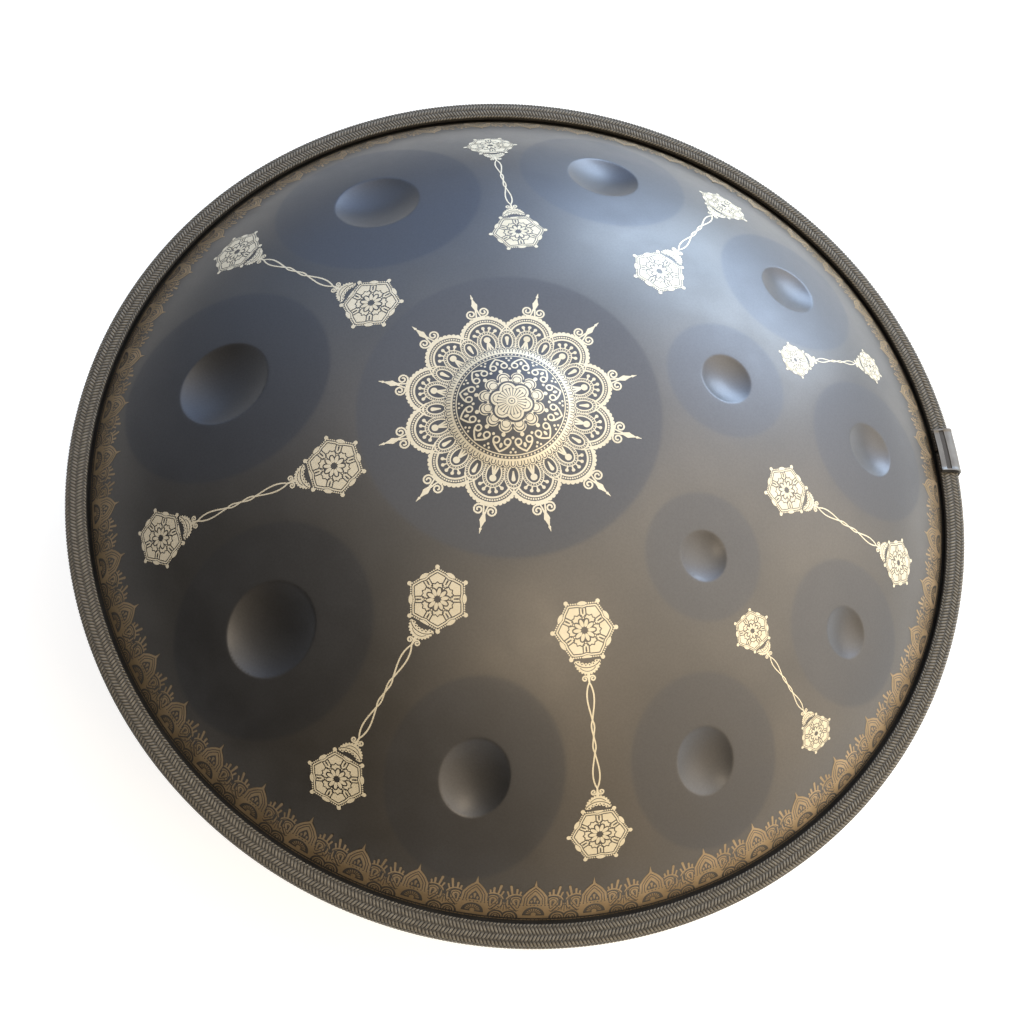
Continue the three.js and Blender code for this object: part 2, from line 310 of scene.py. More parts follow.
def contour_segments(grid_x, grid_y, field):
    """Marching squares: the points where the field changes sign, and the pairs that join"""
    inside = field < 0
    across = inside[:, :-1] != inside[:, 1:]
    upward = inside[:-1, :] != inside[1:, :]
    across_ids = np.full(across.shape, -1)
    across_ids[across] = np.arange(across.sum())
    upward_ids = np.full(upward.shape, -1)
    upward_ids[upward] = across.sum() + np.arange(upward.sum())

    def crossing(values, first, second, where):
        a, b = values[first][where], values[second][where]
        fa, fb = field[first][where], field[second][where]
        share = fa / (fa - fb)
        return a + share * (b - a)

    left, right = np.s_[:, :-1], np.s_[:, 1:]
    low, high = np.s_[:-1, :], np.s_[1:, :]
    points = np.concatenate([
        np.stack([crossing(grid, left, right, across) for grid in (grid_x, grid_y)], axis=1),
        np.stack([crossing(grid, low, high, upward) for grid in (grid_x, grid_y)], axis=1),
    ])
    sides = [across_ids[:-1], upward_ids[:, 1:], across_ids[1:], upward_ids[:, :-1]]
    sides = np.stack(sides, axis=2).reshape(-1, 4)
    count = (sides >= 0).sum(axis=1)
    pairs = np.sort(sides[count == 2], axis=1)[:, 2:]
    saddles = sides[count == 4]
    return points, np.concatenate([pairs, saddles[:, :2], saddles[:, 2:]])


def chains(pairs, count):
    """Lists of joined points: open ones first, then closed ones with the first point repeated"""
    neighbours = [[] for _ in range(count)]
    for a, b in pairs.tolist():
        neighbours[a].append(b)
        neighbours[b].append(a)
    used = [False] * count
    found = []
    starts = [i for i in range(count) if len(neighbours[i]) == 1] + list(range(count))
    for start in starts:
        if used[start] or not neighbours[start]:
            continue
        chain = [start]
        used[start] = True
        while True:
            onward = [n for n in neighbours[chain[-1]] if not used[n]]
            if not onward:
                break
            chain.append(onward[0])
            used[onward[0]] = True
        if len(chain) > 2 and start in neighbours[chain[-1]] and len(neighbours[start]) == 2:
            chain.append(start)
        found.append(chain)
    return found


def simplified(chain, points, tolerance, longest):
    """The chain without the points that lie within the tolerance of the rest, in steps of at most
    about the longest length"""
    keep = {0, len(chain) - 1}
    line = points[chain]
    spans = [(0, len(chain) - 1)]
    if chain[0] == chain[-1]:
        middle = int(np.argmax(np.hypot(*(line - line[0]).T)))
        keep.add(middle)
        spans = [(0, middle), (middle, len(chain) - 1)]
    while spans:
        first, last = spans.pop()
        if last - first < 2:
            continue
        run = line[last] - line[first]
        length = max(math.hypot(*run), 1e-9)
        off = line[first + 1:last] - line[first]
        gaps = np.abs(off[:, 0] * run[1] - off[:, 1] * run[0]) / length
        farthest = int(np.argmax(gaps))
        if gaps[farthest] > tolerance or length > longest:
            middle = first + 1 + farthest if gaps[farthest] > tolerance else (first + last) // 2
            keep.add(middle)
            spans += [(first, middle), (middle, last)]
    return [chain[i] for i in sorted(keep)]


def pattern_triangles(pattern, grid_x, grid_y, corners, tolerance=0.02, longest=3.0, deep=0.4):
    """Points and triangles of the gold part of a pattern over one repeat of it. corners close the
    repeat's outline, longest is the length that no edge much exceeds, and points are filled in
    where the gold is deep enough."""
    field = pattern(grid_x, grid_y)
    points, pairs = contour_segments(grid_x, grid_y, field)
    lines = [simplified(chain, points, tolerance, longest)
             for chain in chains(pairs, len(points))]
    used = sorted({i for line in lines for i in line})
    number = {old: new for new, old in enumerate(used)}
    edges = [(number[a], number[b]) for line in lines for a, b in zip(line, line[1:]) if a != b]
    spacing = max(math.hypot(grid_x[cell] - grid_x[0, 0], grid_y[cell] - grid_y[0, 0])
                  for cell in ((0, 1), (1, 0)))
    stride = max(1, round(longest / spacing))
    sparse = np.s_[::stride, ::stride]
    filled = field[sparse] < -deep
    extra = np.stack([grid_x[sparse][filled], grid_y[sparse][filled]], axis=1)
    flat = np.concatenate([points[used], np.asarray(corners, float), extra])
    result = delaunay_2d_cdt([Vector(p) for p in flat.tolist()], edges, [], 0, 1e-5)
    found = np.array([tuple(v) for v in result[0]])
    triangles = np.array([face for face in result[2] if len(face) == 3])
    middle = found[triangles].mean(axis=1)
    triangles = triangles[pattern(middle[:, 0], middle[:, 1]) < 0]
    return found, triangles


def upward_triangles(points, triangles, thinnest=0.003):
    """The same triangles, all anticlockwise in plan, without the slivers along a straight edge"""
    a, b, c = (points[triangles[:, k]][:, :2] for k in range(3))
    area = (b[:, 0] - a[:, 0]) * (c[:, 1] - a[:, 1]) - (b[:, 1] - a[:, 1]) * (c[:, 0] - a[:, 0])
    triangles = np.where((area < 0)[:, None], triangles[:, ::-1], triangles)
    sides = [np.hypot(*(end - start).T) for start, end in ((a, b), (b, c), (c, a))]
    return triangles[np.abs(area) > thinnest * np.max(sides, axis=0)]


def gold_piece(name, copies, material, merges_per_mm=2000):
    """One draped piece of gold from several (plan points, triangles) that meet at their edges"""
    offset = 0
    points, triangles = [], []
    for plan, faces in copies:
        points.append(plan)
        triangles.append(faces + offset)
        offset += len(plan)
    points, triangles = np.concatenate(points), np.concatenate(triangles)
    _, first, back = np.unique(np.round(points * merges_per_mm).astype(np.int64), axis=0,
                               return_index=True, return_inverse=True)
    points, triangles = points[first], back.reshape(-1)[triangles]
    distinct = ((triangles[:, 0] != triangles[:, 1]) & (triangles[:, 1] != triangles[:, 2])
                & (triangles[:, 2] != triangles[:, 0]))
    triangles = upward_triangles(points, triangles[distinct])
    used, triangles = np.unique(triangles, return_inverse=True)
    triangles = triangles.reshape(-1, 3)
    x, y = points[used][:, 0], points[used][:, 1]
    normals = top_normals(x, y)
    draped = np.stack([x, y, top_height(x, y)], axis=1) + GOLD_LIFT * normals
    make_piece(name, draped, triangles.tolist(), material, normals)


# ---- the mandala round the ding

MANDALA_CENTRE = (-22, -11.3)
MANDALA_PHASE = 3.9  # azimuth of one of its twelve tips
MANDALA_RADIUS = 74
MANDALA_GRID_STEP = 0.14
MANDALA_GRID_RAYS = 261


def mandala_pattern(x, y):
    """The whole mandala, with a tip along +X: it repeats every 60 degrees, and is mirrored"""
    radius = np.hypot(x, y)
    angle = np.degrees(np.arctan2(y, x))
    tip = np.radians(fold(angle, 30))
    between = np.radians(15) - tip
    # p and q are counted from the nearest tip's line, p2 and q2 from the line between two tips
    p, q = radius * np.cos(tip), radius * np.sin(tip)
    p2, q2 = radius * np.cos(between), radius * np.sin(between)
    gold_on = Pattern(x.shape)
    mandala_arches(gold_on, p, q)
    gold_on.cut(radius - 45)
    mandala_tips(gold_on, p, q)
    mandala_windows(gold_on, p, q, p2, q2)
    mandala_rings(gold_on, radius, angle)
    mandala_hearts(gold_on, p, q, p2, q2)
    mandala_rosette(gold_on, radius, angle, p, q, p2, q2)
    return gold_on.field


def mandala_tips(gold_on, p, q):
    """A spear and two scrolls on each tip"""
    gold_on.add(
        taper(p, q, (62.2, 0), (66.2, 0), 0.45, 1.7),
        taper(p, q, (66.2, 0), (70.2, 0), 1.6, 0.35),
        disc(p, q, 71.2, 0, 0.75),
        taper(p, q, (71.2, 0), (73.7, 0), 0.6, 0.12),
        stroke(p, q, curl(60.9, 3.5, 3.05, 205, -1.4), 0.95),
        stroke(p, q, [(56.0, 2.4), (58.2, 1.3), (60.8, 0.7), (62.6, 0.5)], 0.9),
        disc(p, q, 57.4, 0, 1.1),
    )


def mandala_arches(gold_on, p, q):
    """A scalloped arch on each tip, with a beaded line and a fan of drops inside"""
    centre = 43.3
    reach = np.hypot(p - centre, q)
    around = np.arctan2(q, p - centre)
    gold_on.add(
        beads(reach - 13.8, around * 13.8, 2.4, 1.25),
        band(reach, 13.3, 1.3),
        beads(reach - 11.6, around * 11.6, 1.3, 0.52),
        band(reach, 10.1, 1.1),
    )
    for turn in (0, 29, 58):
        foot, head = plan_point(4.2, turn), plan_point(7.1, turn)
        gold_on.add(taper(p - centre, q, foot, head, 0.35, 0.5), disc(p - centre, q, *head, 1.0))


def mandala_windows(gold_on, p, q, p2, q2):
    """Twenty-four dark windows with a gold drop in each, framed by a beaded line"""
    middle = 40.3
    large = oval(p, q, middle, 0, 5.4, 3.7)
    small = oval(p2, q2, middle, 0, 4.6, 2.7)
    around_large = np.arctan2(q, p - middle) * 5.8
    around_small = np.arctan2(q2, p2 - middle) * 5.1
    for window, around in ((large, around_large), (small, around_small)):
        gold_on.add(window - 2.4)
        gold_on.cut(band(window, 1.3, 1.05))
        gold_on.add(beads(window - 1.3, around, 1.25, 0.34))
    gold_on.cut(np.minimum(large, small))
    gold_on.add(
        stroke(p2, q2, [(45.4, 3.6), (47.6, 2.2), (50.2, 0)], 0.8),
        taper(p2, q2, (47.4, 0), (48.6, 0), 0.6, 0.2),
        disc(p, q, 42.6, 0, 1.9),
        taper(p, q, (41.0, 0), (36.0, 0), 0.55, 0.5),
        taper(p, q, (40.2, 0.5), (36.0, 1.7), 0.45, 0.5),
        taper(p2, q2, (42.2, 0), (38.0, 0), 1.15, 0.4),
    )


def mandala_rings(gold_on, radius, angle):
    """A ring of tabs inside the windows, each with a dark U on it, and a beaded ring inside"""
    side = np.radians(fold(angle + 3, 6)) * radius
    tab = taper(radius, side, (31.0, 0), (34.2, 0), 1.75, 1.75)
    gold_on.cut(radius - 33.0, tab - 0.3)
    gold_on.add(np.maximum(tab, 31.6 - radius))
    gold_on.cut(np.maximum(band(tab, -0.75, 0.5), 32.7 - radius))
    gold_on.add(
        band(radius, 31.9, 0.7),
        band(radius, 29.6, 0.6),
        beads(radius - 30.8, np.radians(angle) * 30.8, TAU * 30.8 / 96, 0.5),
    )


def mandala_hearts(gold_on, p, q, p2, q2):
    """Twelve hearts with curled ends, a drop in each and dots between them"""
    gold_on.add(
        stroke(p, q, [(28.4, 0), (27.1, 1.9), (25.4, 3.6), (23.9, 4.5), (22.6, 4.7)], 0.95),
        ring(p, q, 22.7, 3.1, 1.65, 0.9),
        oval(p, q, 25.1, 0, 1.35, 0.85),
        disc(p, q, 19.4, 0, 1.15),
        disc(p2, q2, 26.5, 0, 0.7),
        disc(p2, q2, 28.1, 1.3, 0.62),
        disc(p2, q2, 20.6, 0, 0.8),
    )


def mandala_rosette(gold_on, radius, angle, p, q, p2, q2):
    """Twelve thick lobes, then a flower of six lobes with a daisy of thin petals on it"""
    gold_on.add(band(disc(p, q, 14.6, 0, 3.4), 0.0, 0.6), disc(p, q, 14.4, 0, 2.6))
    gold_on.add(band(radius, 13.2, 2.0))
    gold_on.cut(taper(p2, q2, (14.0, 0), (15.8, 0), 0.85, 0.15))
    gold_on.cut(band(disc(p, q, 13.2, 0, 2.2), 0.0, 0.4))
    lobe = np.radians(fold(angle, 60))
    u, v = radius * np.cos(lobe), radius * np.sin(lobe)
    flower = np.minimum(disc(u, v, 7.0, 0, 4.6), radius - 8.6)
    gold_on.cut(flower - 1.0)
    gold_on.add(flower + 0.1)
    gold_on.cut(
        band(disc(u, v, 7.6, 0, 2.7), 0.0, 0.4),
        radius - 8.0,
    )
    petal = np.radians(fold(angle, 15))
    along, aside = radius * np.cos(petal), radius * np.sin(petal)
    gold_on.add(taper(along, aside, (2.8, 0), (7.2, 0), 0.25, 0.72), radius - 2.9)
    gold_on.cut(band(radius, 1.7, 0.4), radius - 0.55)


def mandala(material):
    """Twelve copies of a sector of 30 degrees, every other one mirrored"""
    radius = np.arange(0.05, MANDALA_RADIUS, MANDALA_GRID_STEP)
    angle = np.radians(np.linspace(0, 30, MANDALA_GRID_RAYS))
    grid_radius, grid_angle = np.meshgrid(radius, angle, indexing="ij")
    grid_x, grid_y = grid_radius * np.cos(grid_angle), grid_radius * np.sin(grid_angle)
    corners = [(0, 0), (MANDALA_RADIUS, 0), plan_point(MANDALA_RADIUS, 30)]
    flat, triangles = pattern_triangles(mandala_pattern, grid_x, grid_y, corners, longest=1.6)
    copies = []
    for turn in range(6):
        for mirror in (1, -1):
            angle = math.radians(MANDALA_PHASE + 60 * turn)
            x, y = flat[:, 0], flat[:, 1] * mirror
            plan = np.stack([
                MANDALA_CENTRE[0] + x * math.cos(angle) - y * math.sin(angle),
                MANDALA_CENTRE[1] + x * math.sin(angle) + y * math.cos(angle),
            ], axis=1)
            copies.append((plan, triangles))
    return gold_piece("gold_mandala", copies, material)


# ---- nine paired medallions

# Inner and outer medallion of each pair: azimuth and distance from the axis
PAIRS = [
    ((164.5, 120), (161.8, 224.5)),
    ((115.3, 116.5), (114.5, 212)),
    ((71.6, 113.5), (72, 214.5)),
    ((34.7, 156.5), (34.7, 222)),
    ((0.9, 140), (1.1, 225.5)),
    ((-29.6, 163), (-29.3, 228.5)),
    ((-65.8, 126), (-65.2, 225)),
    ((-102.6, 126), (-103.1, 224.5)),
    ((-146.3, 124), (-147.7, 223.5)),
]
PAIR_SPAN = 115  # between the medallions' centres at full size, along the surface
PAIR_HALF_WIDTH = 18.5
PAIR_HALF_LENGTH = PAIR_SPAN / 2 + 17
PAIR_GRID_STEP = 0.13


def medallion(gold_on, x, y):
    """A six-pointed medallion centred at the origin, with balls on its points"""
    radius = np.hypot(x, y)
    angle = np.degrees(np.arctan2(y, x))
    tip = np.radians(fold(angle, 60))
    side = np.radians(30) - tip
    p, q = radius * np.cos(tip), radius * np.sin(tip)
    s, t = radius * np.cos(side), radius * np.sin(side)
    dip = 0.6 * np.maximum(1 - np.abs(t) / 2.6, 0)
    rim = np.maximum(s - 13.4 + dip, p - 15.2)
    loop = taper(s, t, (8.6, 0), (12.6, 0), 1.4, 1.4)
    gold_on.add(rim)
    gold_on.cut(
        np.maximum(band(rim, -1.05, 0.55), p - 14.6),
        stroke(p, q, [(7.2, 3.2), (8.4, 2.2), (8.2, 1.1), (9.3, 0)], 0.55),
        np.maximum(band(loop, 0.3, 0.65), s - 12.3),
        taper(s, t, (8.9, 0), (10.9, 0), 0.35, 0.5),
        disc(s, t, 6.4, 0, 1.0),
    )
    petals = np.radians(fold(angle, 36))
    petal = oval(radius * np.cos(petals), radius * np.sin(petals), 3.9, 0, 2.1, 1.0)
    gold_on.cut(petal - 0.7, radius - 4.6)
    gold_on.add(
        petal,
        disc(s, t, 6.5, 0, 0.45),
        beads(s - 14.2, t, 1.2, 0.44),
        oval(s, t, 14.3, 0, 1.15, 2.4),
        disc(p, q, 17.2, 0, 1.2),
    )


def pair_pattern(x, y):
    """A quarter of a pair: the medallion on +Y and half of the twisted lines between"""
    gold_on = Pattern(x.shape)
    centre = PAIR_SPAN / 2
    medallion(gold_on, x, y - centre)
    pair_cap(gold_on, x, centre - 16.5 - y)
    for start, end, width in ((9.0, 29.6, 1.9), (0, 9.0, 0.8)):
        gold_on.add(stroke(x, y, twisted_side(start, end, width), 0.85))
    return gold_on.field


def pair_cap(gold_on, x, y):
    """A scalloped crescent with two curls on it; +Y leads away from its medallion"""
    around = np.arctan2(x, y + 0.3)
    edge = oval(x, y, 0, -0.3, 6.7, 7.0)
    hollow = oval(x, y, 0, -3.0, 6.3, 4.9)
    along = np.arctan2(x, y + 3) * 5.6
    foot = -0.6 - y
    gold_on.add(np.maximum(edge, foot), np.maximum(beads(edge, around * 6.9, 1.7, 0.6), foot))
    gold_on.cut(
        np.maximum(hollow, -1.8 - y),
        np.maximum(band(hollow, 1.5, 0.45), 0.2 - y),
        np.maximum(band(edge, -1.35, 0.35), 3.2 - y),
    )
    gold_on.add(np.maximum(beads(hollow - 0.1, along + 1.15, 2.3, 1.05), foot))
    gold_on.cut(np.maximum(beads(hollow - 0.1, along + 1.15, 2.3, 0.4), foot))
    gold_on.add(
        stroke(x, y, curl(2.1, 9.3, 1.75, 200, 1.2, 14), 0.85),
        taper(x, y, (0, 6.4), (0, 11.2), 0.9, 0.5),
    )


def twisted_side(start, end, width, steps=14):
    """One side of a long drop that is widest two thirds of the way along"""
    points = []
    for i in range(steps + 1):
        share = i / steps
        bulge = width * math.sin(math.pi * share ** 1.4) ** 0.8 if 0 < i < steps else 0
        points.append((bulge, start + share * (end - start)))
    return points


def pairs(material):
    """Nine pieces, each of four mirrored quarters laid along the line between its medallions"""
    width = np.arange(0, PAIR_HALF_WIDTH + PAIR_GRID_STEP, PAIR_GRID_STEP)
    length = np.arange(0, PAIR_HALF_LENGTH + PAIR_GRID_STEP, PAIR_GRID_STEP)
    grid_x, grid_y = np.meshgrid(width, length)
    corners = [(0, 0), (width[-1], 0), (0, length[-1]), (width[-1], length[-1])]
    flat, triangles = pattern_triangles(pair_pattern, grid_x, grid_y, corners)
    for number, (inner, outer) in enumerate(PAIRS, 1):
        copies = [(pair_plan(flat * mirror, inner, outer), triangles)
                  for mirror in ((1, 1), (-1, 1), (1, -1), (-1, -1))]
        gold_piece(f"gold_pair_{number}", copies, material)


def pair_plan(flat, inner, outer):
    """Where a pair's flat points come on the dome, in plan: +Y leads outwards"""
    sphere = DOME_SPHERE_RADIUS
    ends = [sphere * math.asin(reach / sphere) for _, reach in (inner, outer)]
    scale = (ends[1] - ends[0]) / PAIR_SPAN
    share = flat[:, 1] / PAIR_SPAN + 0.5
    azimuth = np.radians(inner[0] + share * (outer[0] - inner[0]))
    away = (ends[0] + share * (ends[1] - ends[0])) / sphere
    aside = flat[:, 0] * scale / sphere
    outward = sphere * np.sin(away) * np.cos(aside)
    sideways = sphere * np.sin(aside)
    return np.stack([outward * np.cos(azimuth) - sideways * np.sin(azimuth),
                     outward * np.sin(azimuth) + sideways * np.cos(azimuth)], axis=1)


# ---- the lace border

LACE_REPEATS = 48
LACE_PHASE = -103.5  # azimuth of one of its arches
LACE_FOOT_RADIUS = 262  # distance from the axis where its heights are counted from
LACE_WIDTH_RADIUS = 255  # distance from the axis where its units have their full width
LACE_HALF_UNIT = TAU * LACE_WIDTH_RADIUS / LACE_REPEATS / 2
LACE_LOW, LACE_HIGH = -4.2, 24.6  # below and above the foot, along the surface
LACE_GRID_COLUMNS = 140
LACE_GRID_STEP = 0.12


def lace_pattern(x, y):
    """Half a unit of the border, from the middle of an arch to the middle of a valley"""
    half = LACE_HALF_UNIT
    gold_on = Pattern(x.shape)
    gold_on.add(polygon(x, y, [(-3, -2.4), (half + 3, -2.4), (half + 3, 8.6), (-3, 8.6)]))
    lace_paisley(gold_on, x, y)
    lace_arch(gold_on, x, y)
    scallop = disc(x, y, half - 3.7, -2.0, 4.2)
    gold_on.cut(
        taper(x, y, (half, 9.2), (half, 12.8), 1.0, 0.3),
        stroke(x, y, [(half - 1.2, 10.5), (half - 1.0, 6.0), (half - 1.7, 3.4)], 0.35),
        stroke(x, y, [(half, 8.2), (half, 2.4)], 0.4),
        scallop - 0.4,
    )
    gold_on.add(
        np.maximum(np.minimum(band(scallop, -1.1, 0.75), band(scallop, -2.5, 0.5)), -2.4 - y),
        disc(x, y, half - 3.7, -1.6, 0.7),
    )
    dashes = np.maximum(np.abs(y + 3.6) - 0.28, beads(0, x, 2.1, 0.85))
    gold_on.add(dashes)
    return gold_on.field


def lace_arch(gold_on, x, y):
    """A pointed arch with a spire, a dark opening with three drops, and a fan below"""
    side = [(9, 0), (7.3, 8), (7, 13), (6.2, 14), (5, 16), (3.2, 18), (2, 19), (0.8, 20)]
    body = mirrored_polygon(x, y, side, (0, 24.2))
    gold_on.cut(np.maximum(band(body, 0.3, 0.6), 8 - y))
    gold_on.add(body)
    upper = 7.4 - y
    gold_on.cut(
        np.maximum(band(body, -1.5, 0.5), upper),
        np.maximum(band(body, -2.9, 0.5), upper),
        mirrored_polygon(x, y, [(3.1, 7.9), (3.1, 9.7), (1.8, 12.2)], (0, 14.3)),
        np.maximum(disc(x, y, 0, -0.4, 6.1), -0.4 - y),
    )
    gold_on.add(
        taper(x, y, (0, 9.2), (0, 11.7), 0.25, 0.8),
        taper(x, y, (1.7, 8.4), (1.7, 9.7), 0.2, 0.66),
        disc(x, y, 0, 0.5, 1.4),
    )
    for turn in (10, 30, 50, 70, 90):
        gold_on.add(taper(x, y - 0.4, plan_point(2.0, turn), plan_point(3.8, turn), 0.12, 0.42))
    gold_on.cut(beads(y - 6.8, x, 2.0, 0.42))


def lace_paisley(gold_on, x, y):
    """A ringed teardrop in a round frame with four fingers on top"""
    frame_disc = disc(x, y, 10.4, 8.0, 6.5)
    gold_on.add(frame_disc)
    fingers = [
        ((12.5, 13), (13.9, 19.3), 0.72),
        ((10.3, 13), (10.2, 17.4), 0.66),
        ((8.7, 13), (8.1, 15.8), 0.56),
        ((14.3, 12.3), (15.5, 15.5), 0.56),
    ]
    for foot, head, width in fingers:
        gold_on.add(taper(x, y, foot, head, width * 0.7, width))
    gold_on.cut(
        band(frame_disc, -1.1, 0.45),
        np.maximum(ring(x, y, 10.3, 9.0, 3.95, 0.7), 7.0 - y),
        taper(x, y, (13.9, 10.4), (13.6, 7.0), 0.85, 0.3),
        stroke(x, y, [(6.7, 8.6), (7.0, 5.4), (7.7, 2.6)], 0.9),
        stroke(x, y, [(13.6, 7.2), (11.9, 5.0), (9.6, 2.4)], 0.8),
        band(taper(x, y, (10.3, 9.2), (9.2, 5.4), 2.4, 0.8), 0, 0.5),
        taper(x, y, (10.3, 9.4), (9.7, 7.0), 0.85, 0.3),
        disc(x, y, 13.6, 4.8, 0.5),
    )
    gold_on.add(disc(x, y, 10.3, 9.4, 0.3))


def lace_border(material):
    """Four pieces, each a quarter of the way round"""
    along = np.linspace(0, LACE_HALF_UNIT, LACE_GRID_COLUMNS)
    up = np.arange(LACE_LOW, LACE_HIGH, LACE_GRID_STEP)
    grid_x, grid_y = np.meshgrid(along, up)
    corners = [(x, y) for x in (0, LACE_HALF_UNIT) for y in (LACE_LOW, LACE_HIGH)]
    flat, triangles = pattern_triangles(lace_pattern, grid_x, grid_y, corners, tolerance=0.03)
    sphere = DOME_SPHERE_RADIUS
    away = math.asin(LACE_FOOT_RADIUS / sphere) - flat[:, 1] / sphere
    reach = sphere * np.sin(away)
    quarter = LACE_REPEATS // 4
    for part in range(4):
        copies = []
        for unit in range(part * quarter, (part + 1) * quarter):
            middle = LACE_PHASE + 360 * unit / LACE_REPEATS
            for mirror in (1, -1):
                azimuth = np.radians(middle) + mirror * flat[:, 0] / LACE_WIDTH_RADIUS
                plan = np.stack([reach * np.cos(azimuth), reach * np.sin(azimuth)], axis=1)
                copies.append((plan, triangles))
        gold_piece(f"gold_lace_{part + 1}", copies, material)


# ---- shells

# Where the upper shell's mesh has rings of points: close together at each crease
RIM_POINTS = 288
RIM_RINGS = (273, 270.5, 269, 268, 267.2, 266.4, 265.6, 264.8, 263.8, 262.4, 260, 256.5, 252)
CORE_RINGS = (1.08, 1.03, 1.0, 0.97, 0.92, 0.82, 0.68, 0.52, 0.36, 0.2, 0.08)  # of its radius
CORE_SPACING = 2.2  # along the rings of a dimple or of the raised dome
FIELD_RING_GAP = 1.2  # between the three rings along a field's edge
FIELD_SPACING = 4
FILLER_STEP = 7  # between the points that fill the rest of the dome
FILLER_GAPS = {"rim": 4, "core": 2.5, "field": 3}  # that they keep from the rings


def ring_plan(cx, cy, radius, count):
    """Evenly spaced points on a circle"""
    angle = TAU * np.arange(count) / count
    return np.stack([cx + radius * np.cos(angle), cy + radius * np.sin(angle)], axis=1)


def filler_plan(features):
    """A triangular grid of points over the dome, away from the rings round each note"""
    columns = np.arange(-RIM_RINGS[-1], RIM_RINGS[-1], FILLER_STEP)
    grid_x, grid_y = np.meshgrid(columns, columns * math.sin(math.radians(60)))
    grid_x = grid_x + np.where(np.arange(len(columns)) % 2, FILLER_STEP / 2, 0)[:, None]
    filler = np.stack([grid_x.ravel(), grid_y.ravel()], axis=1)
    filler = filler[np.hypot(filler[:, 0], filler[:, 1]) < RIM_RINGS[-1] - FILLER_GAPS["rim"]]
    for x, y, field, core in features:
        distance = np.hypot(filler[:, 0] - x, filler[:, 1] - y)
        clear_of_core = distance > core * CORE_RINGS[0] + FILLER_GAPS["core"]
        clear_of_edge = np.abs(distance - field) > FILLER_GAPS["field"]
        filler = filler[clear_of_core & clear_of_edge]
    return filler


def shell_plan():
    """Plan points of the upper shell: rings round the rim and the notes, and a grid between"""
    features = [(DING["x"], DING["y"], DING["field"], DING["dome"])]
    features += [(*plan_point(reach, azimuth), field, dimple)
                 for reach, azimuth, field, dimple in NOTES]
    rings = [ring_plan(0, 0, radius, RIM_POINTS) for radius in (FLANGE_RADIUS, *RIM_RINGS)]
    for x, y, field, core in features:
        for share in CORE_RINGS:
            count = max(12, round(TAU * core * min(share, 1) / CORE_SPACING))
            rings.append(ring_plan(x, y, core * share, count))
        for radius in (field + FIELD_RING_GAP, field, field - FIELD_RING_GAP):
            rings.append(ring_plan(x, y, radius, round(TAU * field / FIELD_SPACING)))
    placed = np.concatenate(rings)
    inside = np.hypot(placed[:, 0], placed[:, 1]) <= FLANGE_RADIUS + 0.01
    return np.concatenate([placed[inside], filler_plan(features)])


def field_tone(x, y, softness=3):
    """1 inside the note fields and 0 outside, softly at the edge"""
    fields = [(DING["x"], DING["y"], DING["field"])]
    fields += [(*plan_point(reach, azimuth), field) for reach, azimuth, field, _ in NOTES]
    inside = [-disc(x, y, *field) / softness + 0.5 for field in fields]
    return np.clip(np.maximum.reduce(inside), 0, 1)


def upper_shell(material):
    """The dome's outer surface, the same sheet's inner surface and a wall round the flange"""
    result = delaunay_2d_cdt([Vector(p) for p in shell_plan().tolist()], [], [], 0, 1e-4)
    plan = np.array([tuple(v) for v in result[0]])
    triangles = upward_triangles(plan, np.array([face for face in result[2] if len(face) == 3]))
    x, y = plan[:, 0], plan[:, 1]
    normals = top_normals(x, y)
    outer = np.stack([x, y, top_height(x, y)], axis=1)
    inner = outer - SHEET * normals
    flange = np.hypot(x, y) > SHELL_RADIUS
    inner[flange] = outer[flange] - (0, 0, SHEET)
    count = len(plan)
    azimuth = np.arctan2(y, x)
    rim = np.nonzero(np.hypot(x, y) > FLANGE_RADIUS - 0.01)[0]
    rim = rim[np.argsort(azimuth[rim])]
    onward = np.roll(rim, -1)
    wall = np.concatenate([np.stack([rim, count + rim, count + onward], axis=1),
                           np.stack([rim, count + onward, onward], axis=1)])
    faces = np.concatenate([triangles, triangles[:, ::-1] + count, wall])
    piece = make_piece("upper_shell", np.concatenate([outer, inner]), faces.tolist(),
                       material, np.concatenate([normals, -normals]),
                       replaces=["top_shell"])
    point_values(piece, "field_tone", np.tile(field_tone(x, y), 2))


def lower_shell(material):
    """Mirrors the plain dome and rolls inwards round the port into a short neck"""
    lip_edge = PORT_LIP_RADIUS + PORT_LIP_WIDTH
    floor = -RIM_HEIGHT
    roll = PORT_LIP_RADIUS - PORT_RADIUS
    roll_centre = (PORT_LIP_RADIUS, floor + roll)
    neck_top = floor + NECK_LENGTH
    fillet = np.linspace(FLANGE_RADIUS, 258, 22)
    dome = np.linspace(256, lip_edge + 3, 50)
    reach = np.concatenate([fillet, dome])
    height = -smooth_max(dome_height(reach), FLANGE_TOP, FLANGE_FILLET)
    height = np.maximum(height, floor)
    slope = reach / (dome_height(reach) - CROWN_RISE + DOME_SPHERE_RADIUS)
    rise = SHEET * np.where(reach > SHELL_RADIUS, 1, np.hypot(1, slope))
    section = list(zip(reach, height)) + [(lip_edge, floor), (PORT_LIP_RADIUS, floor)]
    section += arc_points(roll_centre, roll, -90, -180, 10)[1:]
    section += [
        (PORT_RADIUS, neck_top - NECK_BEVEL),
        (PORT_RADIUS + NECK_BEVEL, neck_top),
        (PORT_RADIUS + SHEET - NECK_BEVEL, neck_top),
        (PORT_RADIUS + SHEET, neck_top - NECK_BEVEL),
    ]
    section += arc_points(roll_centre, roll - SHEET, -180, -90, 10)
    section += [(lip_edge, floor + SHEET)] + list(zip(reach, height + rise))[::-1]
    points, faces = turned_mesh(section[::-1], segments=256)
    make_piece("lower_shell", points, faces, material, sharp=35,
               replaces=["bottom_shell"])


# ---- rope band and sleeve

